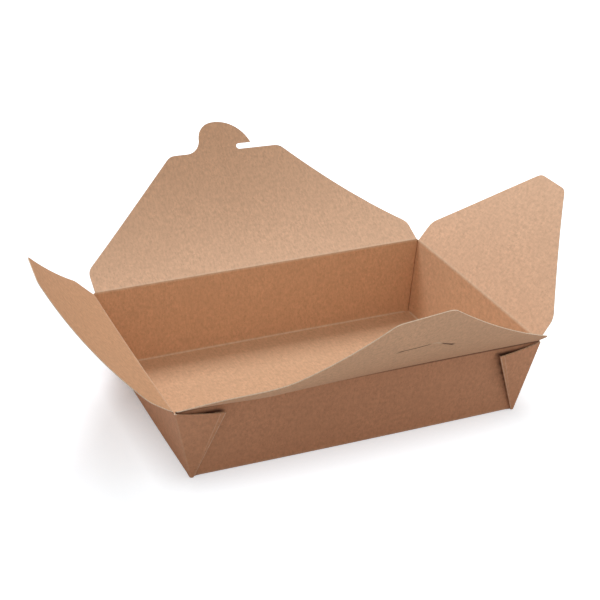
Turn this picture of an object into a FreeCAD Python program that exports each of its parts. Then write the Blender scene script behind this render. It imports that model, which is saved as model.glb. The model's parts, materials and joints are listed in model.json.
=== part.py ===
import FreeCAD, Part
import math
import os
import Sketcher

# Takeaway box folded from one sheet of kraft board, standing open.
# Origin: centre of the underside. +X runs to the right end, +Y to the back, +Z up.
# Lengths in millimetres, angles in degrees. Heights of flaps are measured along their chord.

SIZES = {
    "board": 0.45,
    "base_length": 197.0,
    "base_width": 138.5,
    "rim_length": 217.0,
    "rim_width": 156.5,
    "rim_height": 46.5,
    "crease_gap": 0.12,
    "crease_step": 0.6,
    "crease_bevel": 0.3,
    "ear_gap": 0.16,
    "web_gap": 0.16,
    "ear_foot_reach": 1.8,
    "ear_rim_reach": 28.9,
    "ear_tip_drop": 4.9,
    "ear_root_drop": 1.4,
    "flap_side_gap": 0.8,
    "lobe_height": 15.0,
    "lobe_radius": 9.0,
    "tip_radius": 8.0,
    "back_height": 85.3,
    "back_top_length": 74.8,
    "back_angle": 23.8,
    "back_curl_radius": 159.0,
    "back_twist": -7.4,
    "front_height": 107.0,
    "front_top_length": 31.4,
    "front_angle": 27.1,
    "front_curl_radius": 204.0,
    "front_twist": -2.2,
    "end_height": 79.0,
    "end_top_length": 26.9,
    "left_angle": 36.7,
    "left_curl_radius": 196.0,
    "left_twist": 8.6,
    "right_angle": 50.0,
    "tab_half_width": 16.6,
    "tab_height": 103.8,
    "tab_root_radius": 6.5,
    "tab_shoulder_radius": 9.0,
    "tab_back_radius": 21.8,
    "tab_crown": 2.5,
    "hook_throat": 8.2,
    "hook_slot": 3.6,
    "slit_height": 72.8,
    "slit_left": 11.0,
    "slit_right": 16.0,
    "slit_bend": 10.0,
    "slit_width": 0.4,
}

# How far cutting sketches and the flaps' raw sheets reach past the finished edges.
MARGIN = 12.0

DEGREES_PER_RADIAN = 180 / math.pi

doc = FreeCAD.newDocument("TakeawayBox")


class Dim:
    """A size worked out from the sheet: its present value and its expression."""

    def __init__(self, value, text):
        self.value = value
        self.text = text

    def __add__(self, other):
        other = as_dim(other)
        return Dim(self.value + other.value, "(%s + %s)" % (self.text, other.text))

    def __sub__(self, other):
        other = as_dim(other)
        return Dim(self.value - other.value, "(%s - %s)" % (self.text, other.text))

    def __mul__(self, other):
        other = as_dim(other)
        return Dim(self.value * other.value, "(%s * %s)" % (self.text, other.text))

    def __truediv__(self, other):
        other = as_dim(other)
        return Dim(self.value / other.value, "(%s / %s)" % (self.text, other.text))

    def __neg__(self):
        return Dim(-self.value, "(-1 * %s)" % self.text)


def as_dim(number):
    return number if isinstance(number, Dim) else Dim(float(number), repr(float(number)))


def cell(alias):
    return Dim(SIZES[alias], "Sizes.%s" % alias)


def sine(angle):
    return Dim(math.sin(math.radians(angle.value)), "sin(%s)" % angle.text)


def cosine(angle):
    return Dim(math.cos(math.radians(angle.value)), "cos(%s)" % angle.text)


def arc_tangent(ratio):
    return Dim(math.degrees(math.atan(ratio.value)), "(atan(%s) / 1 deg)" % ratio.text)


def arc_sine(ratio):
    return Dim(math.degrees(math.asin(ratio.value)), "(asin(%s) / 1 deg)" % ratio.text)


def square_root(number):
    return Dim(math.sqrt(number.value), "sqrt(%s)" % number.text)


def write_sheet():
    """Spreadsheet of the driving dimensions, one alias a row."""
    sheet = doc.addObject("Spreadsheet::Sheet", "Sizes")
    for row, (alias, value) in enumerate(SIZES.items(), start=1):
        sheet.set("A%d" % row, alias.replace("_", " "))
        sheet.set("B%d" % row, str(value))
        sheet.setAlias("B%d" % row, alias)
    doc.recompute()


class Outline:
    """A sketch drawn edge by edge, each edge pinned by expressions."""

    START, END, CENTRE = range(1, 4)

    def __init__(self, body, name, role):
        self.sketch = body.newObject("Sketcher::SketchObject", name)
        datum = next(item for item in body.Origin.OriginFeatures if item.Role == role)
        self.sketch.AttachmentSupport = [(datum, "")]
        self.sketch.MapMode = "FlatFace"

    def shift(self, distance):
        """Move the sketch plane along its normal."""
        self.sketch.setExpression(".AttachmentOffset.Base.z", distance.text)

    def tilt(self, angle):
        """Turn the sketch plane about its own first axis."""
        turn = FreeCAD.Rotation(FreeCAD.Vector(1, 0, 0), angle.value)
        self.sketch.AttachmentOffset = FreeCAD.Placement(FreeCAD.Vector(), turn)
        self.sketch.setExpression(".AttachmentOffset.Rotation.Angle", angle.text)

    def line(self, start, end):
        points = [FreeCAD.Vector(x.value, y.value, 0) for x, y in (start, end)]
        return self.sketch.addGeometry(Part.LineSegment(*points), False)

    def arc(self, centre, radius, first, last):
        """Arc drawn anticlockwise between two angles."""
        middle = FreeCAD.Vector(centre[0].value, centre[1].value, 0)
        circle = Part.Circle(middle, FreeCAD.Vector(0, 0, 1), radius.value)
        bounds = [math.radians(first), math.radians(last)]
        return self.sketch.addGeometry(Part.ArcOfCircle(circle, *bounds), False)

    def rule(self, *constraint):
        return self.sketch.addConstraint(Sketcher.Constraint(*constraint))

    def measure(self, kind, target, value):
        """Constraint whose size comes from the sheet."""
        index = self.rule(kind, *target, value.value)
        self.sketch.setExpression("Constraints[%d]" % index, value.text)

    def pin_x(self, edge, point, x):
        self.measure("DistanceX", (-1, 1, edge, point), x)

    def pin_y(self, edge, point, y):
        self.measure("DistanceY", (-1, 1, edge, point), y)

    def pin(self, edge, point, place):
        self.pin_x(edge, point, place[0])
        self.pin_y(edge, point, place[1])

    def join(self, first, first_point, second, second_point):
        self.rule("Coincident", first, first_point, second, second_point)

    def blend(self, first, first_point, second, second_point):
        """Join two edges smoothly."""
        self.rule("Tangent", first, first_point, second, second_point)

    def polygon(self, corners):
        """Closed outline of straight edges with every corner pinned."""
        edges = [self.line(a, b) for a, b in zip(corners, corners[1:] + corners[:1])]
        for edge, follower, corner in zip(edges, edges[1:] + edges[:1], corners):
            self.join(edge, self.END, follower, self.START)
            self.pin(edge, self.START, corner)

    def rectangle(self, left, right, bottom, top):
        self.polygon([(left, bottom), (right, bottom), (right, top), (left, top)])


def feature(body, kind, name, profile, **settings):
    """Sketch-based feature of a body."""
    item = body.newObject(kind, name)
    item.Profile = profile
    for key, value in settings.items():
        setattr(item, key, value)
    return item


def half(alias):
    return cell(alias) / 2


def flare(rim, base):
    """Angle from upright at which a wall leans out between the base and the rim."""
    return arc_tangent((half(rim) - half(base)) / cell("rim_height"))


def wall_panel(body, name, role, lean, outside, corners, inward, thickness):
    """Flat piece of a leaning wall, drawn on its outside and made solid towards the inside."""
    drawing = Outline(body, name + "Outline", role)
    drawing.tilt(lean)
    drawing.shift(outside)
    drawing.polygon(corners)
    panel = feature(body, "PartDesign::Pad", name, drawing.sketch, UseCustomVector=True,
                    Direction=inward, AlongSketchNormal=False)
    panel.setExpression("Length", thickness.text)
    doc.recompute()
    return panel


def round_folds(body, panel, spots):
    """Round the folds that rise from the given spots of the underside, all to the board's thickness."""
    names = []
    for number, edge in enumerate(panel.Shape.Edges, start=1):
        foot = min((vertex.Point for vertex in edge.Vertexes), key=lambda point: point.z)
        rises = edge.BoundBox.ZLength > SIZES["rim_height"] / 2
        if rises and any(math.dist(spot, (foot.x, foot.y)) < SIZES["board"] / 4 for spot in spots):
            names.append("Edge%d" % number)
    fold = body.newObject("PartDesign::Fillet", "FoldRounds")
    fold.Base = (panel, names)
    fold.setExpression("Radius", cell("board").text)
    body.Tip = fold
    doc.recompute()


def add_wall_quarter(body):
    """Half a side wall, half an end wall and the web between them, folded flat as an ear.

    The board runs along the side wall, turns back on itself at the corner, runs out to the
    ear's crease, turns again and comes back to the corner, where it becomes the end wall.
    """
    board = cell("board")
    fold_depth = board * 2 + cell("ear_gap")
    crease_depth = board * 2 + cell("web_gap")
    wall = half("base_width") + board / 2
    back = wall + board + cell("ear_gap")
    face = back + board + cell("web_gap")
    middle = as_dim(0)
    lean = flare("rim_width", "base_width")
    top = cell("rim_height") / cosine(lean)

    def edge(foot, rim, distance):
        """Foot and rim of an upright edge, set in from the corner."""
        return ((foot - distance, middle), (rim - distance, top))

    inset = board / 2 + cell("web_gap")
    corner = edge(half("base_length"), half("rim_length"), -(board / 2))
    fold = edge(half("base_length"), half("rim_length"), inset)
    inner_fold = edge(half("base_length"), half("rim_length"), inset + board)
    tip = edge(half("base_length") - cell("ear_foot_reach"),
               half("rim_length") - cell("ear_rim_reach"), middle)
    inner_tip = edge(tip[0][0], tip[1][0], -board)
    centre = ((middle, middle), (middle, top))

    inward = FreeCAD.Vector(0, 1, 0)
    for name, outside, near, far, thickness in (
            ("SideWall", wall, centre, fold, board),
            ("CornerFold", back, inner_fold, fold, fold_depth),
            ("EarBack", back, tip, fold, board),
            ("EarCrease", face, tip, inner_tip, crease_depth),
            ("EarFace", face, tip, corner, board)):
        outline = [near[0], far[0], far[1], near[1]]
        wall_panel(body, name, "XZ_Plane", lean, outside, outline, inward, thickness)

    end_lean = flare("rim_length", "base_length")
    end_top = cell("rim_height") / cosine(end_lean)
    web = face - half("base_width")
    end_outline = [
        (-(half("base_width") + web), middle),
        (middle, middle),
        (middle, end_top),
        (-(half("rim_width") + web), end_top),
    ]
    outside = half("base_length") + board / 2
    panel = wall_panel(body, "EndWall", "YZ_Plane", end_lean, outside, end_outline,
                       FreeCAD.Vector(-1, 0, 0), board)

    turns = (
        (corner, face),
        (tip, face),
        (tip, face - crease_depth),
        (fold, back),
        (fold, back - fold_depth),
    )
    round_folds(body, panel, [(rise[0][0].value, -depth.value) for rise, depth in turns])


def ear_trim(body):
    """Sketch over the ear's top edge, lying on the leaning side wall's outside."""
    board = cell("board")
    lean = flare("rim_width", "base_width")
    slope = cell("rim_height") / cosine(lean)
    drawing = Outline(body, "EarTopEdge", "XZ_Plane")
    drawing.tilt(lean)
    drawing.shift(half("base_width") + board / 2 + cell("ear_gap") / 2)

    tip_height = slope - cell("ear_tip_drop")
    root_height = slope - cell("ear_root_drop")
    crease_foot = half("base_length") - cell("ear_foot_reach")
    crease_rim = half("rim_length") - cell("ear_rim_reach")
    tip = crease_foot + (crease_rim - crease_foot) * tip_height / slope
    corner = half("rim_length") + board
    top = slope + MARGIN
    away = tip - MARGIN
    drawing.polygon([
        (tip, tip_height),
        (corner, root_height),
        (corner, top),
        (away, top),
        (away, tip_height),
    ])
    return drawing.sketch


def add_tray():
    """Base, four flared walls and four folded corner webs, all one sheet."""
    body = doc.addObject("PartDesign::Body", "tray")
    body.Label = "tray"
    board = cell("board")
    add_wall_quarter(body)
    feature(body, "PartDesign::Pocket", "EarTop", ear_trim(body), Type=1, Reversed=True)
    doc.recompute()

    for name, role in (("EndMirror", "YZ_Plane"), ("SideMirror", "XZ_Plane")):
        copy = body.newObject("PartDesign::Mirrored", name)
        copy.TransformMode = "Whole shape"
        datum = next(item for item in body.Origin.OriginFeatures if item.Role == role)
        copy.MirrorPlane = (datum, [""])
        body.Tip = copy
        doc.recompute()

    plate = Outline(body, "BaseOutline", "XY_Plane")
    reach_x = half("base_length") + board / 2
    reach_y = half("base_width") + board / 2
    plate.rectangle(-reach_x, reach_x, -reach_y, reach_y)
    base = feature(body, "PartDesign::Pad", "BasePlate", plate.sketch)
    base.setExpression("Length", board.text)

    side_top = cell("rim_height") - board / 2 - cell("crease_gap")
    trim_top_edge(body, "Side", "YZ_Plane", half("rim_width") + board / 2, side_top)
    trim_top_edge(body, "End", "XZ_Plane", half("rim_length") + board / 2,
                  side_top - cell("crease_step"))
    doc.recompute()
    return body


def trim_top_edge(body, name, role, outside, top):
    """Cut two opposite walls to height and bevel their outer edge, so that a flap can swing out."""
    bevel = cell("crease_bevel")
    drawing = Outline(body, name + "TopEdge", role)
    inner = outside - cell("board") * 2
    outer = outside + MARGIN
    ceiling = top + MARGIN
    for hand in (1, -1):
        drawing.polygon([
            (inner * hand, top),
            ((outside - bevel) * hand, top),
            (outside * hand, top - bevel),
            (outer * hand, top - bevel),
            (outer * hand, ceiling),
            (inner * hand, ceiling),
        ])
    feature(body, "PartDesign::Pocket", name + "Top", drawing.sketch, Type=1, Midplane=True)


def place_on_crease(body, side):
    """Put the body's X axis on its crease, with its Y axis pointing out of the box."""
    turns = {"back": 0, "left": 90, "front": 180, "right": 270}
    body.Placement.Rotation = FreeCAD.Rotation(FreeCAD.Vector(0, 0, 1), turns[side])
    if side in ("back", "front"):
        reach = half("rim_width") if side == "back" else -half("rim_width")
        body.setExpression(".Placement.Base.y", reach.text)
        body.setExpression(".Placement.Base.z", cell("rim_height").text)
    else:
        reach = half("rim_length") if side == "right" else -half("rim_length")
        body.setExpression(".Placement.Base.x", reach.text)
        lowered = cell("rim_height") - cell("crease_step")
        body.setExpression(".Placement.Base.z", lowered.text)


def add_roll(body, half_width):
    """Rounded bead of board that turns on the crease."""
    drawing = Outline(body, "CreaseSection", "YZ_Plane")
    circle = Part.Circle(FreeCAD.Vector(), FreeCAD.Vector(0, 0, 1), SIZES["board"] / 2)
    ring = drawing.sketch.addGeometry(circle, False)
    drawing.join(ring, Outline.CENTRE, -1, 1)
    drawing.measure("Radius", (ring,), half("board"))
    bead = feature(body, "PartDesign::Pad", "CreaseRoll", drawing.sketch, Midplane=True)
    bead.setExpression("Length", (half_width * 2).text)


def curl_section(body, name, place, angle, radius, bend):
    """Section of a curled sheet: a thin ring sector that leaves the crease at the angle."""
    board = cell("board")
    drawing = Outline(body, name, "YZ_Plane")
    drawing.shift(place)
    middle = (-(radius * sine(angle)), radius * cosine(angle))
    first = angle - 90
    last = first + bend

    def on_ring(distance, heading):
        return (middle[0] + distance * cosine(heading), middle[1] + distance * sine(heading))

    inside = radius - board / 2
    outside = radius + board / 2
    upper = drawing.arc(middle, inside, first.value, last.value)
    free = drawing.line(on_ring(inside, last), on_ring(outside, last))
    under = drawing.arc(middle, outside, first.value, last.value)
    root = drawing.line(on_ring(outside, first), on_ring(inside, first))
    start, stop = Outline.START, Outline.END
    drawing.join(upper, stop, free, start)
    drawing.join(free, stop, under, stop)
    drawing.join(under, start, root, start)
    drawing.join(root, stop, upper, start)
    drawing.join(upper, Outline.CENTRE, under, Outline.CENTRE)
    drawing.pin(upper, Outline.CENTRE, middle)
    drawing.pin(upper, start, on_ring(inside, first))
    drawing.pin_y(upper, stop, on_ring(inside, last)[1])
    drawing.measure("Radius", (under,), outside)
    drawing.rule("PointOnObject", upper, Outline.CENTRE, root)
    drawing.rule("PointOnObject", upper, Outline.CENTRE, free)
    return drawing.sketch


class FlapOutline(Outline):
    """Outline of a flap: straight sides, round lobes, slanted edges and round tips."""

    def __init__(self, body, angle, half_width, height, top_length, root):
        super().__init__(body, "Outline", "XY_Plane")
        self.tilt(angle)
        self.half_width = half_width
        self.height = height
        self.top_half = top_length / 2
        self.foot = self.line((-half_width, root), (half_width, root))
        self.rule("Horizontal", self.foot)
        self.pin(self.foot, self.START, (-half_width, root))
        self.pin_x(self.foot, self.END, half_width)
        self.right_tip = self.flank(self.END, 1, root)
        self.left_tip = self.flank(self.START, -1, root)

    def flank(self, foot_point, hand, root):
        """One side of the flap, up to the round tip at its top edge.

        The slanted edge runs between the sharp corners that the two rounds take away.
        """
        lobe_radius = cell("lobe_radius")
        tip_radius = cell("tip_radius")
        shoulder = (self.half_width * hand, cell("lobe_height"))
        peak = (self.top_half * hand, self.height)
        run = self.half_width.value - self.top_half.value
        rise = self.height.value - cell("lobe_height").value
        slope = math.atan2(rise, run)
        lobe_cut = lobe_radius * math.tan((math.pi / 2 - slope) / 2)
        tip_cut = tip_radius * math.tan(slope / 2)
        side_top = shoulder[1] - lobe_cut
        low = (shoulder[0] - lobe_cut * (math.cos(slope) * hand), shoulder[1] + lobe_cut * math.sin(slope))
        high = (peak[0] + tip_cut * (math.cos(slope) * hand), peak[1] - tip_cut * math.sin(slope))
        side = self.line((shoulder[0], root), (shoulder[0], side_top))
        slant = self.line(low, high)
        lobe_centre = (shoulder[0] - lobe_radius * hand, side_top)
        tip_centre = (peak[0] - tip_cut * hand, self.height - tip_radius)
        lean = 90 - math.degrees(slope)
        if hand > 0:
            lobe = self.arc(lobe_centre, lobe_radius, 0, lean)
            tip = self.arc(tip_centre, tip_radius, lean, 90)
            lower, upper = self.START, self.END
        else:
            lobe = self.arc(lobe_centre, lobe_radius, 180 - lean, 180)
            tip = self.arc(tip_centre, tip_radius, 90, 180 - lean)
            lower, upper = self.END, self.START
        self.rule("Vertical", side)
        self.join(self.foot, foot_point, side, self.START)
        self.blend(side, self.END, lobe, lower)
        self.blend(lobe, upper, slant, self.START)
        self.blend(slant, self.END, tip, lower)
        self.measure("Radius", (lobe,), lobe_radius)
        self.measure("Radius", (tip,), tip_radius)
        for corner in (shoulder, peak):
            mark = self.corner_mark(corner)
            self.rule("PointOnObject", mark, self.START, slant)
        return tip, upper, tip_centre[0]

    def corner_mark(self, place):
        """Construction point at a sharp corner that a round takes away."""
        mark = self.sketch.addGeometry(Part.Point(FreeCAD.Vector(place[0].value, place[1].value, 0)), True)
        self.pin(mark, self.START, place)
        return mark

    def close_plain(self):
        """Straight top edge between the two tips."""
        right, right_point, right_x = self.right_tip
        left, left_point, left_x = self.left_tip
        top = self.line((right_x, self.height), (left_x, self.height))
        self.rule("Horizontal", top)
        self.pin_y(top, self.START, self.height)
        self.blend(right, right_point, top, self.START)
        self.blend(top, self.END, left, left_point)

    def close_with_tab(self):
        """Top edge with the round-backed hook tab over its slot."""
        right, right_point, right_x = self.right_tip
        left, left_point, left_x = self.left_tip
        slot = cell("hook_slot")
        throat = cell("hook_throat") + slot / 2
        under_height = self.height + slot
        neck_x = -cell("tab_half_width")
        shoulder_radius = cell("tab_shoulder_radius")
        back_radius = cell("tab_back_radius")
        root_radius = cell("tab_root_radius")
        back_x = -cell("tab_crown")
        back_y = cell("tab_height") - back_radius
        reach = under_height - back_y
        hook_x = back_x + square_root(back_radius * back_radius - reach * reach)
        shoulder_x = neck_x + shoulder_radius
        spacing = back_radius - shoulder_radius
        offset = back_x - shoulder_x
        shoulder_y = back_y + square_root(spacing * spacing - offset * offset)
        hook_heading = math.degrees(math.asin(reach.value / back_radius.value))
        meeting = 90 + math.degrees(math.asin(offset.value / spacing.value))

        ledge = self.line((right_x, self.height), (throat, self.height))
        slot_end = self.arc((throat, self.height + slot / 2), slot / 2, 90, 270)
        under = self.line((throat, under_height), (hook_x, under_height))
        back = self.arc((back_x, back_y), back_radius, hook_heading, meeting)
        shoulder = self.arc((shoulder_x, shoulder_y), shoulder_radius, meeting, 180)
        neck = self.line((neck_x, shoulder_y), (neck_x, self.height + root_radius))
        fillet = self.arc((neck_x - root_radius, self.height + root_radius), root_radius, 270, 360)
        top = self.line((neck_x - root_radius, self.height), (left_x, self.height))
        for edge in (ledge, under, top):
            self.rule("Horizontal", edge)
        self.rule("Vertical", neck)
        self.blend(right, right_point, ledge, self.START)
        self.blend(ledge, self.END, slot_end, self.END)
        self.blend(slot_end, self.START, under, self.START)
        self.join(under, self.END, back, self.START)
        self.blend(back, self.END, shoulder, self.START)
        self.blend(shoulder, self.END, neck, self.START)
        self.blend(neck, self.END, fillet, self.END)
        self.blend(fillet, self.START, top, self.START)
        self.blend(top, self.END, left, left_point)
        self.pin_y(ledge, self.START, self.height)
        self.pin_y(top, self.START, self.height)
        self.pin_x(slot_end, self.CENTRE, throat)
        self.pin_y(under, self.START, under_height)
        self.pin(back, self.CENTRE, (back_x, back_y))
        self.measure("Radius", (back,), back_radius)
        self.measure("Radius", (shoulder,), shoulder_radius)
        self.measure("Radius", (fillet,), root_radius)
        self.pin_x(neck, self.START, neck_x)

    def frame(self, top):
        """Larger rectangle, so that a cut takes away all that lies outside the outline."""
        reach = self.half_width + MARGIN
        self.rectangle(-reach, reach, -(cell("board") * 4), top)


def add_curled_flap(name, side, half_width, height, top_length, sheet_height, with_tab=False):
    """Flap that springs from its crease and curls towards the inside of the box."""
    body = doc.addObject("PartDesign::Body", name)
    body.Label = name
    angle = cell(side + "_angle")
    radius = cell(side + "_curl_radius")
    twist = cell(side + "_twist")
    bend = (sheet_height + MARGIN / 2) / radius * DEGREES_PER_RADIAN
    reach = half_width + MARGIN / 4
    first = curl_section(body, "CurlLeft", -reach, angle - twist / 2, radius, bend)
    second = curl_section(body, "CurlRight", reach, angle + twist / 2, radius, bend)
    feature(body, "PartDesign::AdditiveLoft", "Sheet", first, Sections=[second], Ruled=True)
    doc.recompute()

    chord_angle = angle + arc_sine(height / radius / 2)
    outline = FlapOutline(body, chord_angle, half_width, height, top_length,
                          -(cell("board") * 2))
    if with_tab:
        outline.close_with_tab()
    else:
        outline.close_plain()
    outline.frame(sheet_height + MARGIN)
    feature(body, "PartDesign::Pocket", "Edges", outline.sketch, Type=1, Midplane=True)
    doc.recompute()
    add_roll(body, half_width)
    place_on_crease(body, side)
    doc.recompute()
    return body, chord_angle


def add_slit(body, chord_angle):
    """Slit that takes the hook tab: a straight cut with one end turned to the crease."""
    drawing = Outline(body, "SlitOutline", "XY_Plane")
    drawing.tilt(chord_angle)
    width = cell("slit_width")
    top = cell("slit_height") + width / 2
    bottom = top - width
    near = cell("slit_left")
    far = -cell("slit_right")
    bend = cell("slit_bend")
    drawing.polygon([
        (near, bottom),
        (near, top),
        (far, top),
        (far - bend, top - bend),
        (far - bend, bottom - bend - width),
        (far, bottom),
    ])
    feature(body, "PartDesign::Pocket", "Slit", drawing.sketch, Type=1, Midplane=True)
    doc.recompute()


def add_flat_flap(name, side, half_width, height, top_length):
    """Flap that stands flat."""
    body = doc.addObject("PartDesign::Body", name)
    body.Label = name
    outline = FlapOutline(body, cell(side + "_angle"), half_width, height, top_length,
                          as_dim(0))
    outline.close_plain()
    sheet = feature(body, "PartDesign::Pad", "Sheet", outline.sketch, Midplane=True)
    sheet.setExpression("Length", cell("board").text)
    doc.recompute()
    add_roll(body, half_width)
    place_on_crease(body, side)
    doc.recompute()
    return body


def check_and_write(bodies):
    """Stop on any failed object, then write one file for each piece."""
    failed = [item.Name for item in doc.Objects if set(item.State) & {"Invalid", "Error"}]
    if failed:
        raise RuntimeError("failed: " + ", ".join(failed))
    for body in bodies:
        if body.Shape.isNull() or not body.Shape.isValid() or len(body.Shape.Solids) != 1:
            raise RuntimeError("bad solid: " + body.Label)
    os.makedirs("parts", exist_ok=True)
    for body in bodies:
        body.Shape.exportStep("parts/%s.step" % body.Label)


write_sheet()
long_half = half("rim_length") - cell("flap_side_gap")
short_half = half("rim_width") - cell("flap_side_gap")
tray = add_tray()
back_flap, _ = add_curled_flap("back_flap", "back", long_half, cell("back_height"),
                               cell("back_top_length"), cell("tab_height"), with_tab=True)
front_flap, front_chord = add_curled_flap("front_flap", "front", long_half, cell("front_height"),
                                          cell("front_top_length"), cell("front_height"))
add_slit(front_flap, front_chord)
left_flap, _ = add_curled_flap("left_end_flap", "left", short_half, cell("end_height"),
                               cell("end_top_length"), cell("end_height"))
right_flap = add_flat_flap("right_end_flap", "right", short_half, cell("end_height"),
                           cell("end_top_length"))
doc.recompute()
check_and_write([tray, back_flap, front_flap, left_flap, right_flap])
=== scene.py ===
import json
import math
import random

import bmesh
import bpy
from mathutils import Matrix, Vector
from mathutils.geometry import delaunay_2d_cdt


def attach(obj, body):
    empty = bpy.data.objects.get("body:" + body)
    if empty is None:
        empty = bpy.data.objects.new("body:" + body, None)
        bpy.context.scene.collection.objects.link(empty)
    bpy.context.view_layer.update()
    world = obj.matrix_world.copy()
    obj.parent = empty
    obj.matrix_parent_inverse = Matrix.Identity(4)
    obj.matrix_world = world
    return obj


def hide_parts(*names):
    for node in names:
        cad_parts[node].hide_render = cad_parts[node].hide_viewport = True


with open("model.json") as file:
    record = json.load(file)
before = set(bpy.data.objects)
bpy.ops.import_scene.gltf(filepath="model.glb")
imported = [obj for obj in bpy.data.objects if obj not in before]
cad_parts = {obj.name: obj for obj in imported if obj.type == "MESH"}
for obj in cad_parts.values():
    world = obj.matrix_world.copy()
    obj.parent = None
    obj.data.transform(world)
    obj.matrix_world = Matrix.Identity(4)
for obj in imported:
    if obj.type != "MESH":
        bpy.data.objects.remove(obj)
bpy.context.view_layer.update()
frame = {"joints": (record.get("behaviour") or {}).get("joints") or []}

# Looks of the takeaway box. Drawn lengths are millimetres and angles degrees.
# A mesh is scaled to metres when it is made.
MM = 0.001

# Board and walls. The creases' places come from the frame.
BOARD = 0.45
BASE_HALF_X = 98.5
BASE_HALF_Y = 69.25
SIDE_GAP = 0.8
FLOOR_ROUND = 1.0
FOOT_ROUND = 0.7
LEAST_ROUND = 0.05
CORNER_ROUND = 0.6
FOLD_GAP = 0.16
SKIN_INSET = 0.01

# Where the rounding at the walls' feet starts beside a folded corner, and how fast it comes in.
SIDE_EASE_FROM = 0.5
END_EASE_FROM = 1.0
EASE_LENGTH = 4.0

# Folded corner webs, the ears. Shares run along an ear's face, from 0 at its crease to 1 at the corner,
# and are close together at the crease and at the score line beside it. The lift is how far an ear's
# crease springs off the wall at the rim, by the signs of the corner's x and y.
EAR_FOOT_REACH = 1.8
EAR_RIM_REACH = 28.9
EAR_ROOT_DROP = 0.8
EAR_TIP_DROP = 3.7
EAR_SAG = 0.7
EAR_LIFT = {(-1, -1): 4.0, (1, -1): 3.6, (-1, 1): 1.0, (1, 1): 1.0}
SCORE_SHARE = 0.1
EAR_SHARES = [0.0, 0.012, 0.03, 0.085, SCORE_SHARE, 0.115, 0.2, 0.3, 0.4, 0.5, 0.6, 0.7, 0.8, 0.9, 1.0]
CREASE_WORN_BELOW = 150
END_TOP_EASE = 1.5
# Painted shade on a side wall's outside behind an ear: it comes in over POCKET_EDGE past the ear's
# crease and is full up to POCKET_DROP below the ear's top, fading over POCKET_EDGE above.
POCKET_EDGE = 1.5
POCKET_DROP = 1.0

# Wear and painted light: above 0 the board is worn pale on its folds, with a painted highlight at the
# slit's bend, and below 0 it has painted shade, in grooves at creases, in the pockets behind the ears
# and along the slit.
CREASE_WEAR = 1.0
SCORE_WEAR = 0.7
CORNER_WEAR = 0.2
FOOT_WEAR = 0.4
FLOOR_FOLD_WEAR = 1.1
POCKET_PAINTED_SHADE = -0.9
# Near a rim crease the inside is worn pale and the outside gets painted shade.
RIM_WEAR_AND_SHADE_LEVEL = 0.975
RIM_WEAR_AND_SHADE_RISE = 0.02
FLAP_WEAR_AND_SHADE_REACH = 1.2

# Fineness of the meshes.
WALL_COLUMNS = 28
BACK_COLUMNS = 8
WALL_LEVELS = [0.03, 0.07, 0.13] + [i / 20 for i in range(4, 19)] + [0.94, 0.97, 0.985]
CREASE_ROWS = (0.35, 0.9, 1.8)
CREASE_COLUMNS = 72
EDGE_STEP = 3.0
SLIT_STEP = 1.5
FLAP_GRID = 3.5
FLOOR_GRID = 7.0

# How far the middle of each wall bows out at its foot and at its rim.
FOOT_BOW = {"front": 0.9, "back": 0.3, "left": 0.5, "right": 0.3}
RIM_BOW = {"front": -0.4, "back": 0.0, "left": 0.5, "right": 0.3}

# Flaps, laid flat: half the crease, the lobe's height, the top's height and half its length. A top that
# leans sits off the middle. The angle is at the middle of the crease. Curl is in degrees per millimetre
# up the flap, and twist and the curl's change go by the millimetre along the crease. The end lift is
# added to the angle beyond END_LIFT_FROM at the crease's left or front end.
FLAPS = {
    "back_flap": {"side": "back", "angle": 24.81, "curl": 0.3526, "twist": -0.0367,
                  "end_lift": 0.0, "curl_change": 0.0, "half": 107.5, "lobe": 16.2, "top": 85.5,
                  "top_half": 37.8, "lean": 0.0},
    "front_flap": {"side": "front", "angle": 27.21, "curl": 0.2812, "twist": 0.0645,
                   "end_lift": 8.5, "curl_change": -0.00038, "half": 107.4, "lobe": 14.0,
                   "top": 107.0, "top_half": 15.6, "lean": -3.8},
    "left_end_flap": {"side": "left", "angle": 37.4, "curl": 0.292, "twist": 0.0666,
                      "end_lift": 0.0, "curl_change": 0.0, "half": 76.9, "lobe": 15.6, "top": 78.1,
                      "top_half": 15.2, "lean": 0.0},
    "right_end_flap": {"side": "right", "angle": 53.04, "curl": -0.0585, "twist": -0.0281,
                       "end_lift": 0.0, "curl_change": 0.0, "half": 77.4, "lobe": 14.5, "top": 78.6,
                       "top_half": 14.2, "lean": 0.0},
}
END_LIFT_FROM = 60.0
END_LIFT_LENGTH = 47.0
LOBE_ROUND = 9.0
TIP_ROUND = 8.0
RIPPLE = 0.05
RIPPLE_WAVES = 5
RIPPLE_ACROSS = 0.05
RIPPLE_UPWARD = 0.07
RIPPLE_REACH = 20.0

# Hook tab on the back flap, measured from the crease and from the middle.
NECK = -16.3
TAB_ROOT_ROUND = 9.7
TAB_TOP = 104.8
CROWN = -3.9
CROWN_ROUND = 24.0
SHOULDER_ROUND = 10.8
THROAT = 10.0
HOOK_SLOT = 3.7

# Slit in the front flap, with painted shade along its edges, a painted highlight at its bend, and its
# sprung lips.
SLIT_LINE = [(-9.5, 70.7), (13.5, 70.7), (30.0, 57.2)]
SLIT_HALF_WIDTH = 0.15
SLIT_PAINT_REACH = 0.5
SLIT_PAINT_ROOM = 0.1
SLIT_PAINT_FADE = 3.0
SLIT_PAINT_TIP = 0.5
BEND_SHIFT = 1.0
BEND_HIGHLIGHT = 2.0
LIP_RAISE = -0.3
LIP_REACH = 7.0
LIP_ENDS = 12.0

# Camera, from the photograph: it looks at the box from the front left and from above.
AZIMUTH = -22.077
ELEVATION = 25.516
ROLL = -0.158
DISTANCE = 931.267
PAN = (-5.81, 51.262)
FOCAL_PIXELS = 1561.093
FRAME_PIXELS = 600
SENSOR_MM = 36.0

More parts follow.
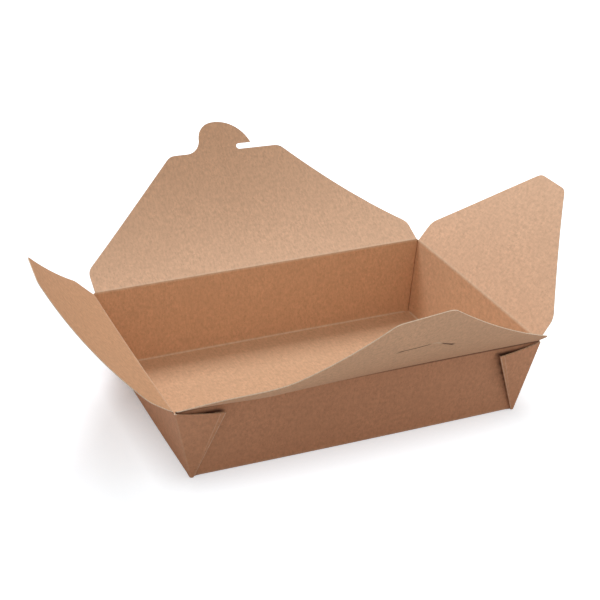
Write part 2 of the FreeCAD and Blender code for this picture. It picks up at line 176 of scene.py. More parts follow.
# Light: an even one from all round, and lamps. A lamp's level is what a white matte sheet facing it
# would show, and LAMP_WATTS is the power for a level of 1 at a metre. Each lamp has a name, azimuth,
# elevation, distance and size in metres, level and tone.
AMBIENT = (0.475, 0.452, 0.43)
LAMP_WATTS = 9.86
LAMPS = [
    ("key", 96, 54, 2.0, 0.7, 0.56, (1.0, 1.04, 1.12)),
    ("fill", -38, 24, 0.7, 0.35, 0.09, (1.0, 1.0, 1.0)),
]

# Table, in metres. It glows to the camera only, less at the back left, which paints the box's shadow
# there, and less again close to the box's foot, which paints a contact shadow.
TABLE_RADIUS = 6.0
TABLE_TONE = 0.8
GLOW_TONE = (0.92, 1.0, 1.06, 1.0)
SHADE_GLOW = 0.5
CLEAR_GLOW = 0.8
FAR_GLOW = CLEAR_GLOW + 0.1
FRONT_RIGHT = (0.8, -0.6, 0.0)
SHADE_EDGE = (-0.1, -0.035)
FAR_EDGE = (0.32, 0.6)
CONTACT_SHADE = 0.3
CONTACT_BESIDE = 0.02
CONTACT_BEFORE = 0.025

# Kraft board's grain. A larger scale is a finer noise, and the shades are shares of the board's tone.
CLOUD_SCALE = 45.0
PULP_SCALE = 420.0
FIBRE_SCALE = (900.0, 260.0, 500.0)
GRIT_SCALE = 1500.0
DARK_SHARE = 0.86
LIGHT_SHARE = 1.13
PATCH_SHARE = 0.93
SPECK_SHARES = (0.5, 0.42, 0.38)
GRAIN_DEPTH = 0.00012
INSIDE_ROUGHNESS = 0.85
OUTSIDE_ROUGHNESS = 0.75
CUT_ROUGHNESS = 0.9


def linear(red, green, blue):
    """Linear colour of an 8-bit screen colour."""
    return tuple(((c / 255 + 0.055) / 1.055) ** 2.4 for c in (red, green, blue)) + (1.0,)


TRAY_INSIDE_TONE = linear(219, 176, 139)
TRAY_OUTSIDE_TONE = linear(208, 154, 120)
FLAP_INSIDE_TONE = linear(230, 191, 158)
FLAP_OUTSIDE_TONE = linear(219, 177, 143)
# The left flap's inside: a darker copy of the flaps' inside tone, painted shade for the light it lacks.
LEFT_INSIDE_PAINTED_SHADE_TONE = linear(206, 160, 122)
# Pale tone of worn folds, also used for a painted highlight at the slit's bend.
PALE_WEAR_AND_HIGHLIGHT_TONE = linear(232, 208, 180)
# Painted shade: the outside's tone in the creases' grooves, in the pockets behind the ears and along
# the slit.
PAINTED_SHADE_TONE = linear(66, 40, 28)
CUT_TONE = linear(247, 224, 199)


def side_axes(side):
    """Directions along a side's crease and out of the box."""
    if side in ("front", "back"):
        return Vector((1, 0, 0)), Vector((0, 1 if side == "back" else -1, 0))
    return Vector((0, 1, 0)), Vector((1 if side == "right" else -1, 0, 0))


CREASES = {joint["child"]: Vector(joint["pos_m"]) / MM for joint in frame["joints"]}
RIM_HALF_X = CREASES["right_end_flap"].x
RIM_HALF_Y = CREASES["back_flap"].y
RIM_Z = CREASES["back_flap"].z
END_RIM_Z = CREASES["right_end_flap"].z


def smooth(edge, x):
    """Rises smoothly from 0 at zero to 1 at the edge."""
    x = min(max(x / edge, 0.0), 1.0)
    return x * x * (3 - 2 * x)


def rounded(corners, step=0.18):
    """Closed outline from corners (x, y, radius), each rounded by an arc."""
    points = []
    count = len(corners)
    for i, (x, y, radius) in enumerate(corners):
        here = Vector((x, y))
        if not radius:
            points.append(here)
            continue
        before = Vector(corners[i - 1][:2]) - here
        after = Vector(corners[(i + 1) % count][:2]) - here
        half_turn = before.angle(after) / 2
        centre = here + (before.normalized() + after.normalized()).normalized() * (
            radius / math.sin(half_turn))
        start = here + before.normalized() * (radius / math.tan(half_turn)) - centre
        stop = here + after.normalized() * (radius / math.tan(half_turn)) - centre
        first = math.atan2(start.y, start.x)
        sweep = (math.atan2(stop.y, stop.x) - first + math.pi) % (2 * math.pi) - math.pi
        pieces = max(2, round(abs(sweep) / step))
        for k in range(pieces + 1):
            angle = first + sweep * k / pieces
            points.append(centre + Vector((math.cos(angle), math.sin(angle))) * radius)
    return points


def arc_points(centre, radius, first, last, pieces):
    """Points of an arc between two angles."""
    angles = [math.radians(first + (last - first) * k / pieces) for k in range(pieces + 1)]
    return [Vector((centre[0] + radius * math.cos(a), centre[1] + radius * math.sin(a)))
            for a in angles]


def inside(point, loop):
    """Whether a point of the plane lies inside a closed outline."""
    hit = False
    for a, b in zip(loop, loop[1:] + loop[:1]):
        if (a.y > point.y) != (b.y > point.y):
            if point.x < (b.x - a.x) * (point.y - a.y) / (b.y - a.y) + a.x:
                hit = not hit
    return hit


def edge_distance(point, loop):
    """Distance from a point of the plane to a closed outline."""
    best = math.inf
    for a, b in zip(loop, loop[1:] + loop[:1]):
        run = b - a
        share = 0.0 if run.length_squared == 0 else (point - a).dot(run) / run.length_squared
        best = min(best, (point - a - run * min(max(share, 0.0), 1.0)).length)
    return best


def divided(loop, longest):
    """The same outline with its long straight stretches divided."""
    points = []
    for a, b in zip(loop, loop[1:] + loop[:1]):
        pieces = max(1, math.ceil((b - a).length / longest))
        points += [a.lerp(b, k / pieces) for k in range(pieces)]
    return points


def triangulate(outline, holes, spacing, extra=()):
    """Triangles of a flat outline with holes. The outlines' points come first, in order.

    Extra points keep a short way off every edge, and the grid's points about half a cell.
    """
    loops = [outline] + list(holes)
    points = [p for loop in loops for p in loop]
    edges = []
    start = 0
    for loop in loops:
        edges += [(start + i, start + (i + 1) % len(loop)) for i in range(len(loop))]
        start += len(loop)
    low = Vector((min(p.x for p in outline), min(p.y for p in outline)))
    high = Vector((max(p.x for p in outline), max(p.y for p in outline)))
    columns = math.ceil((high.x - low.x) / spacing)
    rows = math.ceil((high.y - low.y) / spacing)
    grid = [Vector((low.x + (i + (j % 2) / 2) * spacing, low.y + j * spacing))
            for j in range(rows + 1) for i in range(columns + 1)]
    extra_room = 0.2
    grid_room = spacing * 0.45
    spare = [(p, extra_room) for p in extra] + [(p, grid_room) for p in grid]
    for p, room in spare:
        if inside(p, outline) and not any(inside(p, hole) for hole in holes):
            if min(edge_distance(p, loop) for loop in loops) > room:
                points.append(p)
    _, _, faces, origins, _, _ = delaunay_2d_cdt(points, edges, [], 0, 1e-6)
    kept = []
    for face in faces:
        corners = [origins[i][0] for i in face]
        middle = sum((points[i] for i in corners), Vector((0, 0))) / 3
        if inside(middle, outline) and not any(inside(middle, hole) for hole in holes):
            kept.append(corners)
    return points, kept


class Sheet:
    """Mesh of bent board: vertices, faces, each face's material and each vertex's wear and painted
    light.
    """

    INNER, OUTER, EDGE = range(3)

    def __init__(self):
        self.points = []
        self.wear_and_painted_light = []
        self.faces = []
        self.kinds = []

    def add(self, point, wear_and_painted_light=0.0):
        """Adds a vertex and gives its number."""
        self.points.append(point)
        self.wear_and_painted_light.append(wear_and_painted_light)
        return len(self.points) - 1

    def face(self, corners, kind):
        """Adds a face, without the corners that fall together."""
        ring = [c for i, c in enumerate(corners) if c != corners[i - 1]]
        if len(ring) > 2:
            self.faces.append(ring)
            self.kinds.append(kind)

    def build(self, name, body, materials):
        """The Blender object, scaled to metres, riding on its body in place of its CAD node."""
        mesh = bpy.data.meshes.new(name)
        mesh.from_pydata([p * MM for p in self.points], [], self.faces)
        for material in materials:
            mesh.materials.append(material)
        mesh.polygons.foreach_set("material_index", self.kinds)
        mesh.polygons.foreach_set("use_smooth", [kind != self.EDGE for kind in self.kinds])
        wear_and_painted_light = mesh.attributes.new("wear_and_painted_light", "FLOAT", "POINT")
        wear_and_painted_light.data.foreach_set("value", self.wear_and_painted_light)
        kinds_at = {}
        for polygon in mesh.polygons:
            for key in polygon.edge_keys:
                kinds_at.setdefault(key, set()).add(polygon.material_index)
        sharp = mesh.attributes.new("sharp_edge", "BOOLEAN", "EDGE")
        keys = [tuple(sorted(edge.vertices)) for edge in mesh.edges]
        sharp.data.foreach_set("value", [self.EDGE in kinds_at.get(key, ()) and
                                         len(kinds_at[key]) > 1 for key in keys])
        shell = bmesh.new()
        shell.from_mesh(mesh)
        bmesh.ops.recalc_face_normals(shell, faces=shell.faces)
        shell.to_mesh(mesh)
        shell.free()
        piece = bpy.data.objects.new(name, mesh)
        bpy.context.scene.collection.objects.link(piece)
        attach(piece, body)
        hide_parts(body)
        return piece


def bow_at(side, along, half, height):
    """How far a wall bows out at a place along it, given as a height from 0 to 1."""
    shape = 1 - (along / half) ** 2
    return max(shape, 0.0) * (FOOT_BOW[side] + (RIM_BOW[side] - FOOT_BOW[side]) * height)


def flap_place(name, u, v):
    """Point in the middle of a flap's board, its normal towards the inside and its own uphill."""
    shape = FLAPS[name]
    along, out = side_axes(shape["side"])
    half = RIM_HALF_X if abs(along.x) else RIM_HALF_Y
    lift = shape["end_lift"] * smooth(END_LIFT_LENGTH, -END_LIFT_FROM - u)
    start = math.radians(shape["angle"] + shape["twist"] * u + lift)
    curl = math.radians(shape["curl"] + shape["curl_change"] * u)
    end = start + curl * v
    run = (math.sin(end) - math.sin(start)) / curl
    rise = (math.cos(start) - math.cos(end)) / curl
    root = CREASES[name] + along * u + out * bow_at(shape["side"], u, half, 1.0)
    up = Vector((0, 0, 1))
    place = root + out * run + up * rise
    uphill = out * math.cos(end) + up * math.sin(end)
    inward = up * math.cos(end) - out * math.sin(end)
    return place, inward, uphill


def ripple(name, u, v):
    """Slight unevenness of a flap's board, none at the crease."""
    source = random.Random(name)
    total = 0.0
    for _ in range(RIPPLE_WAVES):
        across = source.uniform(-RIPPLE_ACROSS, RIPPLE_ACROSS)
        upward = source.uniform(-RIPPLE_UPWARD, RIPPLE_UPWARD)
        phase = source.uniform(0, 2 * math.pi)
        total += math.sin(across * u + upward * v + phase)
    return RIPPLE * total * smooth(RIPPLE_REACH, v)


def tab_points(ledge):
    """The hook tab's edge, from its slot at the ledge round its back to its neck."""
    under = ledge + HOOK_SLOT
    slot_end = arc_points((THROAT, ledge + HOOK_SLOT / 2), HOOK_SLOT / 2, 270, 90, 6)
    centre_y = TAB_TOP - CROWN_ROUND
    hook = math.asin((under - centre_y) / CROWN_ROUND)
    shoulder_x = NECK + SHOULDER_ROUND
    spread = CROWN_ROUND - SHOULDER_ROUND
    meeting = math.pi / 2 + math.asin((CROWN - shoulder_x) / spread)
    shoulder_y = centre_y + spread * math.sin(meeting)
    back = arc_points((CROWN, centre_y), CROWN_ROUND, math.degrees(hook), math.degrees(meeting), 16)
    shoulder = arc_points((shoulder_x, shoulder_y), SHOULDER_ROUND, math.degrees(meeting), 180, 8)
    root = arc_points((NECK - TAB_ROOT_ROUND, ledge + TAB_ROOT_ROUND), TAB_ROOT_ROUND, 0, -90, 8)
    return slot_end + back + shoulder[1:] + root


def flap_outline(name):
    """Closed outline of a flap, laid flat: x along the crease, y up the flap."""
    shape = FLAPS[name]
    right = [(shape["half"], 0.0, 0), (shape["half"], shape["lobe"], LOBE_ROUND),
             (shape["top_half"], shape["top"], TIP_ROUND)]
    left = [(-x, y, radius) for x, y, radius in reversed(right)]
    outline = rounded(right + left)
    for p in outline:
        p.x += shape["lean"] * min(p.y / shape["top"], 1.0)
    if name != "back_flap":
        return outline
    split = next(i for i, p in enumerate(outline) if i and outline[i - 1].x > 0 > p.x)
    return outline[:split] + tab_points(shape["top"]) + outline[split:]


def slit_outline(half_width=SLIT_HALF_WIDTH):
    """Outline round the slit at a half width, pointed at both ends: by default, the opening's."""
    a, b, c = [Vector(p) for p in SLIT_LINE]
    path = divided([a, b, c], SLIT_STEP)
    path = path[:path.index(c) + 1]
    offset = []
    for i, p in enumerate(path):
        run = path[min(i + 1, len(path) - 1)] - path[max(i - 1, 0)]
        normal = Vector((-run.y, run.x)).normalized() * half_width
        ends = min(1.0, min(i, len(path) - 1 - i) / 2)
        offset.append(normal * ends)
    upper = [p + n for p, n in zip(path, offset)]
    lower = [p - n for p, n in zip(path, offset)][1:-1]
    return upper + lower[::-1]


def slit_painted_light(p, hole):
    """Painted light on the outside at the slit: a painted highlight at its bend, painted shade along
    the rest.
    """
    if min((p - q).length for q in hole) > SLIT_PAINT_REACH + SLIT_PAINT_ROOM:
        return 0.0
    ends = min((p - Vector(SLIT_LINE[i])).length for i in (0, 2))
    from_bend = abs(p.x - SLIT_LINE[1][0] - BEND_SHIFT)
    shade = 1.0 - 2.0 * smooth(SLIT_PAINT_FADE, from_bend - BEND_HIGHLIGHT)
    return shade * smooth(SLIT_PAINT_FADE, ends - SLIT_PAINT_TIP)


def lip(u, v):
    """How far the board beside the slit springs up on one side of it and down on the other."""
    a, b, c = [Vector(p) for p in SLIT_LINE]
    best = None
    for start, stop in ((a, b), (b, c)):
        run = stop - start
        share = min(max((Vector((u, v)) - start).dot(run) / run.length_squared, 0.0), 1.0)
        away = Vector((u, v)) - start - run * share
        side = run.x * away.y - run.y * away.x
        if best is None or away.length < best[0]:
            best = (away.length, 1 if side > 0 else -1)
    ends = min((Vector((u, v)) - a).length, (Vector((u, v)) - c).length)
    return best[1] * LIP_RAISE * (1 - smooth(LIP_REACH, best[0])) * smooth(LIP_ENDS, ends)


def add_flap(name, materials):
    """Curled flap of board with its cut edges and its rolled crease.

    Each place of the flat outline gets a ring of points through the board, of two points, or of
    five round the rolled crease.
    """
    outline = divided(flap_outline(name), EDGE_STEP)
    holes = [slit_outline()] if name == "front_flap" else []
    half = max(p.x for p in outline)
    extra = [Vector((half * (2 * i / CREASE_COLUMNS - 1), v))
             for v in CREASE_ROWS for i in range(1, CREASE_COLUMNS)]
    if holes:
        extra += slit_outline(SLIT_HALF_WIDTH + SLIT_PAINT_REACH)
        extra += slit_outline(SLIT_HALF_WIDTH + 2 * SLIT_PAINT_REACH)
    places, triangles = triangulate(outline, holes, FLAP_GRID, extra)
    sheet = Sheet()
    rings = []
    for p in places:
        middle, inward, uphill = flap_place(name, p.x, p.y)
        lift = ripple(name, p.x, p.y) + (lip(p.x, p.y) if holes else 0.0)
        # Near the crease the inside is worn pale and the outside, with the rolled crease's outer half,
        # gets painted shade.
        wear_and_painted_light = 1 - smooth(FLAP_WEAR_AND_SHADE_REACH, p.y)
        ring = [sheet.add(middle + inward * (lift + BOARD / 2), wear_and_painted_light)]
        at_crease = p.y < 1e-6
        if at_crease:
            for angle in (math.pi / 4, math.pi / 2, math.pi * 3 / 4):
                away = inward * math.cos(angle) - uphill * math.sin(angle)
                ring.append(sheet.add(middle + away * (BOARD / 2), math.cos(angle)))
        # Painted shade and a painted highlight beside the slit.
        slit_light = slit_painted_light(p, holes[0]) if holes else 0.0
        ring.append(sheet.add(middle + inward * (lift - BOARD / 2), slit_light - wear_and_painted_light))
        rings.append(ring)
    for face in triangles:
        sheet.face([rings[i][0] for i in face], Sheet.INNER)
        sheet.face([rings[i][-1] for i in reversed(face)], Sheet.OUTER)
    start = 0
    for loop in [outline] + holes:
        numbers = list(range(start, start + len(loop)))
        start += len(loop)
        for i, j in zip(numbers, numbers[1:] + numbers[:1]):
            a, b = rings[i], rings[j]
            if len(a) == len(b) == 5:
                for k in range(4):
                    sheet.face([a[k], a[k + 1], b[k + 1], b[k]], Sheet.OUTER)
            else:
                sheet.face([a[0], a[-1], b[-1], b[0]], Sheet.EDGE)
                for ring in (a, b):
                    if len(ring) == 5:
                        sheet.face(ring, Sheet.EDGE)
    return sheet.build("board_" + name, name, materials)


def fold_wear_and_pocket_shade(stretch, share):
    """Wear and painted shade of the outside: pale wear on a fold's ridge, painted shade in the pocket
    behind an ear.
    """
    if stretch == "face":
        return {0.0: CREASE_WEAR, SCORE_SHARE: SCORE_WEAR}.get(share, 0.0)
    if stretch == "crease":
        return CREASE_WEAR if share < CREASE_WORN_BELOW else 0.0
    # Painted shade on the outside of the ear's back layer and its turn, inside the pocket.
    if stretch in ("back", "turn"):
        return POCKET_PAINTED_SHADE
    return CORNER_WEAR if stretch == "corner" else 0.0


def quarter_columns():
    """Places along the board, from the middle of a side wall round the corner web to the end wall.

    Each is a stretch and a share of it, or an angle where the board turns.
    """
    eased = [math.sin(math.pi / 2 * i / WALL_COLUMNS) for i in range(WALL_COLUMNS + 1)]
    columns = [("wall", share) for share in eased]
    columns += [("turn", angle) for angle in range(-60, 90, 30)]
    columns += [("back", 1 - i / BACK_COLUMNS) for i in range(BACK_COLUMNS + 1)]
    columns += [("crease", angle) for angle in range(240, 90, -30)]
    columns += [("face", share) for share in EAR_SHARES]
    columns += [("corner", angle) for angle in (72, 54, 36, 18)]
    columns += [("end", share) for share in reversed(eased)]
    return columns


def ear_top(share):
    """Height of an ear's top edge, from its crease to the corner."""
    drop = EAR_TIP_DROP + (EAR_ROOT_DROP - EAR_TIP_DROP) * share
    return RIM_Z - drop - EAR_SAG * 4 * share * (1 - share)


def board_place(stretch, share, z):
    """Middle of the board in one quarter at a height, with its outward normal."""
    half_x = BASE_HALF_X + (RIM_HALF_X - BASE_HALF_X) * z / END_RIM_Z
    half_y = BASE_HALF_Y + (RIM_HALF_Y - BASE_HALF_Y) * z / RIM_Z
    reach = EAR_FOOT_REACH + (EAR_RIM_REACH - EAR_FOOT_REACH) * z / RIM_Z
    turn = (BOARD + FOLD_GAP) / 2
    fold = half_x - turn * 3
    crease = half_x - reach + BOARD + FOLD_GAP / 2
    face_y = half_y + turn * 4
    if stretch == "wall":
        return Vector((fold * share, half_y)), Vector((0, 1))
    if stretch == "back":
        return Vector((crease + (fold - crease) * share, half_y + turn * 2)), Vector((0, -1))
    if stretch == "face":
        root = half_x - CORNER_ROUND
        return Vector((crease + (root - crease) * share, face_y)), Vector((0, 1))
    if stretch == "end":
        return Vector((half_x, (face_y - CORNER_ROUND) * share)), Vector((1, 0))
    spoke = Vector((math.cos(math.radians(share)), math.sin(math.radians(share))))
    if stretch == "turn":
        return Vector((fold, half_y + turn)) + spoke * turn, -spoke
    if stretch == "crease":
        return Vector((crease, half_y + turn * 3)) + spoke * turn, spoke
    centre = Vector((half_x - CORNER_ROUND, face_y - CORNER_ROUND))
    return centre + spoke * CORNER_ROUND, spoke


def top_of(stretch, share):
    """Height of the board's top at a place, and how round it is: 1 at a crease, 0 where it is cut."""
    if stretch == "wall":
        return RIM_Z, 1.0
    if stretch == "turn":
        level = smooth(180, share + 90)
        return RIM_Z + (ear_top(1) - RIM_Z) * level, 1 - level
    if stretch in ("back", "face"):
        return ear_top(share), 0.0
    if stretch == "crease":
        return ear_top(0), 0.0
    if stretch == "corner":
        return ear_top(1), 0.0
    y = board_place("end", share, RIM_Z)[0].y
    level = smooth(END_TOP_EASE, y - RIM_HALF_Y + SIDE_GAP)
    return END_RIM_Z + (ear_top(1) - END_RIM_Z) * level, 1 - level


def foot_ease(stretch, share):
    """1 along the walls' feet and 0 at the folded corners."""
    if stretch == "wall":
        return smooth(EASE_LENGTH, BASE_HALF_X * (1 - share) - SIDE_EASE_FROM)
    if stretch == "end":
        return smooth(EASE_LENGTH, BASE_HALF_Y * (1 - share) - END_EASE_FROM)
    return 0.0


def tray_point(column, signs, z, offset):
    """Point of the tray's board at a height, off its middle by the offset, bowed and sprung."""
    stretch, share = column
    place, normal = board_place(stretch, share, z)
    spot = place + normal * offset
    level = z / RIM_Z
    if stretch in ("end", "corner"):
        side = "right" if signs[0] > 0 else "left"
        spot.x += bow_at(side, place.y, RIM_HALF_Y, level)
    else:
        side = "back" if signs[1] > 0 else "front"
        spot.y += bow_at(side, place.x, RIM_HALF_X, level)
    if stretch in ("back", "crease", "face"):
        away = 1.0 if stretch == "crease" else 1 - share
        spot.y += EAR_LIFT[signs] * away * level
    return Vector((spot.x * signs[0], spot.y * signs[1], z))


def pocket_shade(column, z):
    """Painted shade: how dark a side wall's outside is at a height, where it lies behind an ear."""
    if column[0] != "wall":
        return 0.0
    x = board_place(*column, z)[0].x
    tip = board_place("crease", 180, z)[0].x
    behind = smooth(POCKET_EDGE, x - tip)
    below = 1 - smooth(POCKET_EDGE, z - ear_top(0) + POCKET_DROP)
    return -POCKET_PAINTED_SHADE * behind * below


def rim_wear_and_shade(level):
    """Pale wear inside and painted shade outside beside a crease at a wall's rim, given a height as a
    share of the wall's.
    """
    return smooth(RIM_WEAR_AND_SHADE_RISE, level - RIM_WEAR_AND_SHADE_LEVEL)


def tray_strip(sheet, column, signs):
    """Points round the board's section at one place: underside, outside, top, inside, floor."""
    half = BOARD / 2 - SKIN_INSET
    top, roundness = top_of(*column)
    ease = foot_ease(*column)
    foot = max(FOOT_ROUND * ease, LEAST_ROUND)
    fillet = max(FLOOR_ROUND * ease, LEAST_ROUND)
    strip = []

    def put(z, offset, wear_and_painted_light):
        strip.append(sheet.add(tray_point(column, signs, z, offset), wear_and_painted_light))

    turned = fold_wear_and_pocket_shade(*column)
    for angle in (90, 60, 30, 0):
        a = math.radians(angle)
        put(foot - foot * math.sin(a), half - foot + foot * math.cos(a), FOOT_WEAR)
    # Outside: fold wear, painted shade under a rim crease and painted shade in the pocket behind an
    # ear.
    for level in WALL_LEVELS:
        z = foot + (top - foot) * level
        put(z, half, turned - rim_wear_and_shade(level) * roundness - pocket_shade(column, z))
    # Over the top: painted shade on a rim crease's outer side, pale wear on its inner side.
    for angle in (0, 45, 90, 135, 180):
        a = math.radians(angle)
        put(top + half * math.sin(a) * roundness, half * math.cos(a), -math.cos(a) * roundness)
    low = BOARD + fillet
    # Inside: pale wear below a rim crease.
    for level in reversed(WALL_LEVELS):
        put(low + (top - low) * level, -half, rim_wear_and_shade(level) * roundness)
    for angle in (0, 30, 60, 90):
        a = math.radians(angle)
        pale_share = FLOOR_FOLD_WEAR * math.sin(2 * a)
        put(low - fillet * math.sin(a), -half - fillet + fillet * math.cos(a), pale_share)
    return strip, roundness


def add_tray(materials):
    """Base, walls and folded corner webs as one skin of board."""
    sheet = Sheet()
    quarter = quarter_columns()
    around = []
    for signs, backwards in (((1, 1), False), ((1, -1), True), ((-1, -1), False), ((-1, 1), True)):
        run = quarter[::-1] if backwards else quarter
        around += [(column, signs) for column in run[:-1]]
    strips = [tray_strip(sheet, column, signs) for column, signs in around]
    count = len(strips[0][0])
    middle = count // 2
    for (a, a_round), (b, b_round) in zip(strips, strips[1:] + strips[:1]):
        cut = (a_round + b_round) / 2 < 0.5
        for k in range(count - 1):
            on_top = middle - 2 <= k < middle + 2
            if on_top and cut:
                kind = Sheet.EDGE
            else:
                kind = Sheet.OUTER if k < middle else Sheet.INNER
            sheet.face([a[k], a[k + 1], b[k + 1], b[k]], kind)
    for end, kind in ((0, Sheet.OUTER), (-1, Sheet.INNER)):
        loop = [strip[end] for strip, _ in strips]
        level = sheet.points[loop[0]].z
        outline = [Vector(sheet.points[i][:2]) for i in loop]
        places, triangles = triangulate(outline, [], FLOOR_GRID)
        numbers = loop + [sheet.add(Vector((p.x, p.y, level))) for p in places[len(loop):]]
        for face in triangles:
            sheet.face([numbers[i] for i in face], kind)
    return sheet.build("board_tray", "tray", materials)


class Shader:
    """Node tree of one material, built node by node."""

    def __init__(self, name):
        self.material = bpy.data.materials.new(name)
        self.material.use_nodes = True
        self.tree = self.material.node_tree
        self.tree.nodes.clear()
        self.output = self.node("ShaderNodeOutputMaterial")

    def node(self, kind, inputs=(), **settings):
        """A node with its settings and with each input set or linked."""
        made = self.tree.nodes.new(kind)
        for key, value in settings.items():
            setattr(made, key, value)
        for key, value in dict(inputs).items():
            if isinstance(value, bpy.types.NodeSocket):
                self.tree.links.new(value, made.inputs[key])
            else:
                made.inputs[key].default_value = value
        return made

    def combine(self, operation, first, second):
        """Two values put together by an operation such as ADD."""
        return self.node("ShaderNodeMath", {0: first, 1: second}, operation=operation).outputs[0]

    def noise(self, place, scale, detail, roughness):
        """Noise at a place, about 0.5 on average."""
        return self.node("ShaderNodeTexNoise", {"Vector": place, "Scale": scale, "Detail": detail,
                                                "Roughness": roughness}).outputs["Fac"]

    def ramp(self, value, low, high, start=0.0, stop=1.0):
        """Value moved from one range to another and held there."""
        return self.node("ShaderNodeMapRange", {"Value": value, "From Min": low, "From Max": high,
                                                "To Min": start, "To Max": stop}).outputs[0]

    def mix(self, share, first, second):
        """The first colour, with the second one's share of it."""
        return self.node("ShaderNodeMix", {0: share, 6: first, 7: second},
                         data_type="RGBA").outputs[2]


def board_material(name, tone, roughness, pale_tone=PALE_WEAR_AND_HIGHLIGHT_TONE):
    """Kraft board: mottled pulp with fine fibres, dark specks, pale worn folds with a painted highlight
    at the slit, and painted shade in grooves and pockets.
    """
    shader = Shader(name)
    place = shader.node("ShaderNodeTexCoord").outputs["Object"]
    cloud = shader.noise(place, CLOUD_SCALE, 3.0, 0.5)
    pulp = shader.noise(place, PULP_SCALE, 4.0, 0.65)
    fibre_place = shader.node("ShaderNodeMapping", {"Vector": place, "Scale": FIBRE_SCALE})
    fibre = shader.noise(fibre_place.outputs[0], 1.0, 3.0, 0.6)
    grit = shader.noise(place, GRIT_SCALE, 1.0, 0.5)
    grain = shader.combine("ADD", pulp, fibre)
    shade = [c * DARK_SHARE for c in tone[:3]] + [1.0]
    light = [min(c * LIGHT_SHARE, 1.0) for c in tone[:3]] + [1.0]
    colour = shader.mix(shader.ramp(grain, 0.75, 1.25), shade, light)
    patch = [c * PATCH_SHARE for c in tone[:3]] + [1.0]
    colour = shader.mix(shader.ramp(cloud, 0.35, 0.7, 0.35, 0.0), colour, patch)
    speck = [c * share for c, share in zip(tone, SPECK_SHARES)] + [1.0]
    colour = shader.mix(shader.ramp(grit, 0.69, 0.76, 0.0, 0.55), colour, speck)
    wear_and_painted_light = shader.node("ShaderNodeAttribute", attribute_name="wear_and_painted_light").outputs["Fac"]
    # Pale where the attribute is above 0: wear on folds, and a painted highlight at the slit's bend.
    patchy = shader.ramp(pulp, 0.3, 0.6, 0.35, 0.8)
    pale_share = shader.combine("MULTIPLY", shader.ramp(wear_and_painted_light, 0.0, 1.0), patchy)
    colour = shader.mix(pale_share, colour, pale_tone)
    # Painted shade where the attribute is below 0.
    colour = shader.mix(shader.ramp(wear_and_painted_light, 0.0, -1.0), colour, PAINTED_SHADE_TONE)
    bump = shader.node("ShaderNodeBump", {"Height": grain, "Strength": 0.35, "Distance": GRAIN_DEPTH})
    surface = shader.node("ShaderNodeBsdfPrincipled", {
        "Base Color": colour,
        "Roughness": roughness,
        "Specular IOR Level": 0.25,
        "Normal": bump.outputs[0],
    })
    shader.tree.links.new(surface.outputs[0], shader.output.inputs["Surface"])
    return shader.material


def floor_material():
    """White table: it takes shadows, and its glow to the camera makes it look white in the light. Its
    glow is weaker at the back left and beside the box's foot, which paints shadows there.
    """
    shader = Shader("white_table")
    matte = shader.node("ShaderNodeBsdfDiffuse", {"Color": (TABLE_TONE,) * 3 + (1.0,)})
    place = shader.node("ShaderNodeTexCoord").outputs["Object"]
    ahead = shader.node("ShaderNodeVectorMath", {0: place, 1: FRONT_RIGHT},
                        operation="DOT_PRODUCT").outputs["Value"]
    # Painted shadow: less glow towards the back left.
    level = shader.ramp(ahead, *SHADE_EDGE, SHADE_GLOW, CLEAR_GLOW)
    away = shader.node("ShaderNodeVectorMath", {0: place}, operation="LENGTH").outputs["Value"]
    beyond = shader.ramp(away, *FAR_EDGE, SHADE_GLOW, FAR_GLOW)
    level = shader.combine("MAXIMUM", level, beyond)
    # Painted contact shadow: less glow close to the box's foot.
    mirrored = shader.node("ShaderNodeVectorMath", {0: place}, operation="ABSOLUTE").outputs[0]
    apart = shader.node("ShaderNodeSeparateXYZ", {0: mirrored}).outputs
    foot_x, foot_y = BASE_HALF_X * MM, BASE_HALF_Y * MM
    beside = shader.ramp(apart["X"], foot_x, foot_x + CONTACT_BESIDE, CONTACT_SHADE, 0.0)
    before = shader.ramp(apart["Y"], foot_y, foot_y + CONTACT_BEFORE, 1.0, 0.0)
    level = shader.combine("SUBTRACT", level, shader.combine("MULTIPLY", beside, before))
    seen = shader.node("ShaderNodeLightPath").outputs["Is Camera Ray"]
    strength = shader.combine("MULTIPLY", seen, level)
    glow = shader.node("ShaderNodeEmission", {"Color": GLOW_TONE, "Strength": strength})
    both = shader.node("ShaderNodeAddShader", {0: matte.outputs[0], 1: glow.outputs[0]})
    shader.tree.links.new(both.outputs[0], shader.output.inputs["Surface"])
    return shader.material


def add_floor():
    """Wide round table under the box."""
    mesh = bpy.data.meshes.new("table")
    disc = bmesh.new()
    bmesh.ops.create_circle(disc, cap_ends=True, radius=TABLE_RADIUS, segments=64)
    disc.to_mesh(mesh)
    disc.free()
    mesh.materials.append(floor_material())
    floor = bpy.data.objects.new("table", mesh)
    bpy.context.scene.collection.objects.link(floor)


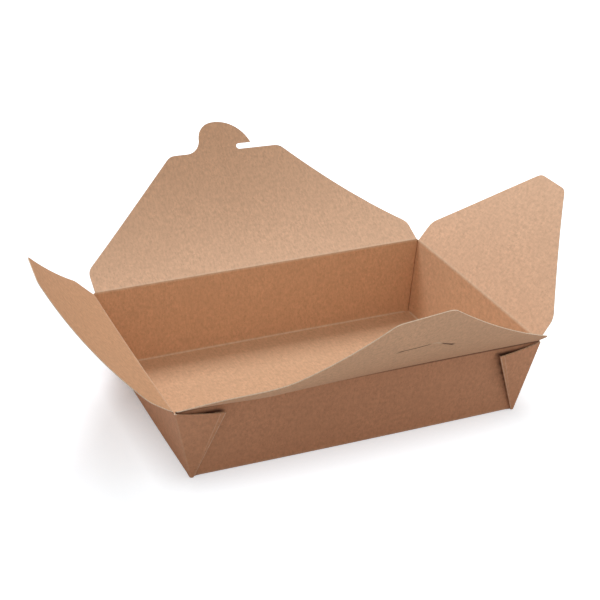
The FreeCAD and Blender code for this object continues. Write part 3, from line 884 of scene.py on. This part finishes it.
def set_world():
    """White to the camera and in reflections, a dimmer even light for everything else."""
    world = bpy.data.worlds.new("studio")
    bpy.context.scene.world = world
    world.use_nodes = True
    nodes = world.node_tree.nodes
    links = world.node_tree.links
    nodes.clear()
    path = nodes.new("ShaderNodeLightPath")
    seen = path.outputs["Is Camera Ray"]
    for name in ("Is Glossy Ray", "Is Transmission Ray"):
        either = nodes.new("ShaderNodeMath")
        either.operation = "MAXIMUM"
        links.new(seen, either.inputs[0])
        links.new(path.outputs[name], either.inputs[1])
        seen = either.outputs[0]
    mix = nodes.new("ShaderNodeMixShader")
    links.new(seen, mix.inputs[0])
    for slot, tone in ((1, AMBIENT), (2, (1.0, 1.0, 1.0))):
        plain = nodes.new("ShaderNodeBackground")
        plain.inputs["Color"].default_value = tone + (1.0,)
        plain.inputs["Strength"].default_value = 1.0
        links.new(plain.outputs[0], mix.inputs[slot])
    output = nodes.new("ShaderNodeOutputWorld")
    links.new(mix.outputs[0], output.inputs["Surface"])


def add_lamp(name, azimuth, elevation, distance, size, level, tone):
    """Square lamp aimed at the box, with its azimuth turning from +x to +y."""
    lamp = bpy.data.lights.new(name, "AREA")
    lamp.size = size
    lamp.energy = level * LAMP_WATTS * distance ** 2
    lamp.color = tone
    a, e = math.radians(azimuth), math.radians(elevation)
    away = Vector((math.cos(a) * math.cos(e), math.sin(a) * math.cos(e), math.sin(e)))
    holder = bpy.data.objects.new(name, lamp)
    holder.location = away * distance
    holder.rotation_euler = away.to_track_quat("Z", "Y").to_euler()
    bpy.context.scene.collection.objects.link(holder)


def add_camera():
    """Camera where the photograph was taken from."""
    a, e, r = (math.radians(angle) for angle in (AZIMUTH, ELEVATION, ROLL))
    back = Vector((math.sin(a) * math.cos(e), -math.cos(a) * math.cos(e), math.sin(e)))
    level = Vector((math.cos(a), math.sin(a), 0))
    rise = back.cross(level)
    right = level * math.cos(r) + rise * math.sin(r)
    up = rise * math.cos(r) - level * math.sin(r)
    place = (back * DISTANCE + right * PAN[0] + up * PAN[1]) * MM
    lens = bpy.data.cameras.new("camera")
    lens.sensor_width = SENSOR_MM
    lens.lens = FOCAL_PIXELS / FRAME_PIXELS * SENSOR_MM
    lens.clip_start = 0.05
    lens.clip_end = 50.0
    holder = bpy.data.objects.new("camera", lens)
    holder.matrix_world = Matrix((
        (right.x, up.x, back.x, place.x),
        (right.y, up.y, back.y, place.y),
        (right.z, up.z, back.z, place.z),
        (0, 0, 0, 1),
    ))
    bpy.context.scene.collection.objects.link(holder)
    bpy.context.scene.camera = holder
    bpy.context.scene.view_settings.view_transform = "Standard"


cut_edge = board_material("kraft_cut_edge", CUT_TONE, CUT_ROUGHNESS, CUT_TONE)
tray_board = [
    board_material("kraft_tray_inside", TRAY_INSIDE_TONE, INSIDE_ROUGHNESS),
    board_material("kraft_tray_outside", TRAY_OUTSIDE_TONE, OUTSIDE_ROUGHNESS),
    cut_edge,
]
flap_board = [
    board_material("kraft_flap_inside", FLAP_INSIDE_TONE, INSIDE_ROUGHNESS),
    board_material("kraft_flap_outside", FLAP_OUTSIDE_TONE, OUTSIDE_ROUGHNESS),
    cut_edge,
]
# The left flap gets the darker copy of the flaps' inside: painted shade.
shaded_left_board = [board_material("kraft_left_inside_painted_shade", LEFT_INSIDE_PAINTED_SHADE_TONE, INSIDE_ROUGHNESS)]
shaded_left_board += flap_board[1:]
add_tray(tray_board)
for flap in FLAPS:
    add_flap(flap, shaded_left_board if flap == "left_end_flap" else flap_board)

add_floor()
set_world()
for lamp_values in LAMPS:
    add_lamp(*lamp_values)
add_camera()
